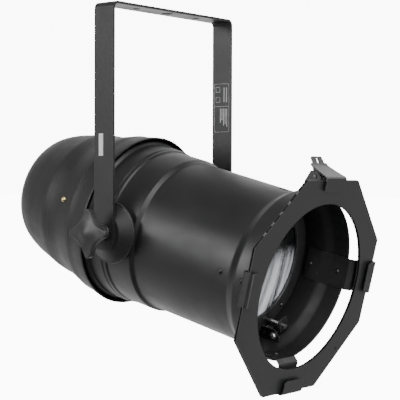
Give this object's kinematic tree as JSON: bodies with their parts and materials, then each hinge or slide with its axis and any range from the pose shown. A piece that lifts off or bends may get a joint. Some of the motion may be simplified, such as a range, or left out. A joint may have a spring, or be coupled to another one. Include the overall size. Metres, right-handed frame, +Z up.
{
  "type": "par can light",
  "caption": "Stage par can lantern on a hanging yoke, with a domed rear can, long tube, motor zoom lens, sprung latch and octagonal colour frame.",
  "frame": {"origin": "middle of the yoke bar on its top face, over the clamp hole", "axes": "+X along the tilt axis, -Y where the front of the light faces, +Z up to the clamp"},
  "size_m": [0.2936, 0.4536, 0.4533],
  "materials": {
    "painted_steel": "satin black powder coat",
    "black_plastic": "moulded, fine grain",
    "zinc_steel": "zinc plated",
    "brass": "bright",
    "aluminium": "mill",
    "lens_glass": "polished",
    "circuit_board": "solder resist",
    "led_phosphor": "silicone over phosphor",
    "display_screen": "clear window over a dark display"
  },
  "bodies": {
    "yoke_body": {"yoke": "painted_steel"},
    "knob_seat_left": {"knob_washer_left": "zinc_steel"},
    "knob_left": {"star_knob_left": "black_plastic"},
    "knob_seat_right": {"knob_washer_right": "zinc_steel"},
    "knob_right": {"star_knob_right": "black_plastic"},
    "latch": {"latch_lever": "painted_steel"},
    "lens_carriage": {"lens_bezel": "painted_steel", "lens": "lens_glass", "lens_retainer": "black_plastic", "bezel_screw_1": "zinc_steel", "bezel_screw_2": "zinc_steel", "bezel_screw_3": "zinc_steel", "drive_nut": "brass"},
    "zoom_screw": {"lead_screw": "zinc_steel"},
    "fan": {"fan_rotor": "black_plastic"},
    "button_mode": {"menu_button_mode": "black_plastic"},
    "button_enter": {"menu_button_enter": "black_plastic"},
    "button_down": {"menu_button_down": "black_plastic"},
    "button_up": {"menu_button_up": "black_plastic"},
    "head": {"bracket_screw": "zinc_steel", "can_screw_1": "brass", "can_screw_2": "brass", "can_screw_3": "brass", "chassis_plate": "aluminium", "clip_bottom": "painted_steel", "clip_left": "painted_steel", "clip_right": "painted_steel", "colour_frame": "painted_steel", "control_board": "circuit_board", "data_socket_in": "black_plastic", "data_socket_out": "black_plastic", "display_window": "display_screen", "fan_housing": "black_plastic", "front_barrel": "painted_steel", "fuse_holder": "black_plastic", "guide_rod_lower": "zinc_steel", "guide_rod_upper": "zinc_steel", "heatsink": "aluminium", "latch_bracket": "painted_steel", "latch_pin": "zinc_steel", "latch_spring": "zinc_steel", "led_emitter": "led_phosphor", "led_module": "aluminium", "pivot_bolt_left": "zinc_steel", "pivot_bolt_right": "zinc_steel", "pivot_disc_left": "painted_steel", "pivot_disc_right": "painted_steel", "pivot_plate_left": "zinc_steel", "pivot_plate_right": "zinc_steel", "pivot_spacer_left": "zinc_steel", "pivot_spacer_right": "zinc_steel", "power_socket_in": "black_plastic", "power_socket_out": "black_plastic", "power_supply": "aluminium", "rear_can": "painted_steel", "rear_panel": "painted_steel", "reflector": "aluminium", "zoom_bracket": "painted_steel", "zoom_motor": "black_plastic"}
  },
  "joints": [
    {"name": "head_tilt", "type": "hinge", "parent": "yoke_body", "child": "head", "pos_m": [0, 0, -0.27], "axis": [1, 0, 0], "range_deg": [-80, 230]},
    {"name": "knob_left_travel", "type": "slide", "parent": "head", "child": "knob_seat_left", "axis": [-1, 0, 0], "range_m": [0, 0.0025]},
    {"name": "knob_left_turn", "type": "hinge", "parent": "knob_seat_left", "child": "knob_left", "pos_m": [-0.138, 0, -0.27], "axis": [-1, 0, 0], "range_deg": [-1, 721]},
    {"name": "knob_right_travel", "type": "slide", "parent": "head", "child": "knob_seat_right", "axis": [1, 0, 0], "range_m": [0, 0.0025]},
    {"name": "knob_right_turn", "type": "hinge", "parent": "knob_seat_right", "child": "knob_right", "pos_m": [0.138, 0, -0.27], "axis": [1, 0, 0], "range_deg": [-1, 721]},
    {"name": "latch_open", "type": "hinge", "parent": "head", "child": "latch", "pos_m": [0, -0.22729, -0.20372], "axis": [-1, 0, 0], "range_deg": [0, 32], "stiffness_Nm_per_rad": 0.12, "springref_deg": -28.65},
    {"name": "zoom_travel", "type": "slide", "parent": "head", "child": "lens_carriage", "axis": [0, -0.9703, -0.2419], "range_m": [-0.05, 0.003]},
    {"name": "zoom_screw_turn", "type": "hinge", "parent": "head", "child": "zoom_screw", "pos_m": [0.03779, -0.05558, -0.35711], "axis": [0, -0.9703, -0.2419], "range_deg": [-136, 2252]},
    {"name": "fan_spin", "type": "hinge", "parent": "head", "child": "fan", "pos_m": [0, 0.11061, -0.24242], "axis": [0, -0.9703, -0.2419], "continuous": true},
    {"name": "button_mode_press", "type": "slide", "parent": "head", "child": "button_mode", "axis": [0, -0.9703, -0.2419], "range_m": [0, 0.001], "stiffness_N_per_m": 300, "springref_m": -0.0005},
    {"name": "button_enter_press", "type": "slide", "parent": "head", "child": "button_enter", "axis": [0, -0.9703, -0.2419], "range_m": [0, 0.001], "stiffness_N_per_m": 300, "springref_m": -0.0005},
    {"name": "button_down_press", "type": "slide", "parent": "head", "child": "button_down", "axis": [0, -0.9703, -0.2419], "range_m": [0, 0.001], "stiffness_N_per_m": 300, "springref_m": -0.0005},
    {"name": "button_up_press", "type": "slide", "parent": "head", "child": "button_up", "axis": [0, -0.9703, -0.2419], "range_m": [0, 0.001], "stiffness_N_per_m": 300, "springref_m": -0.0005}
  ],
  "couplings": [
    {"joint": "knob_left_turn", "follows": "knob_left_travel", "rad_per_m": 5026.5},
    {"joint": "knob_right_turn", "follows": "knob_right_travel", "rad_per_m": 5026.5},
    {"joint": "zoom_screw_turn", "follows": "zoom_travel", "rad_per_m": -785.4}
  ]
}
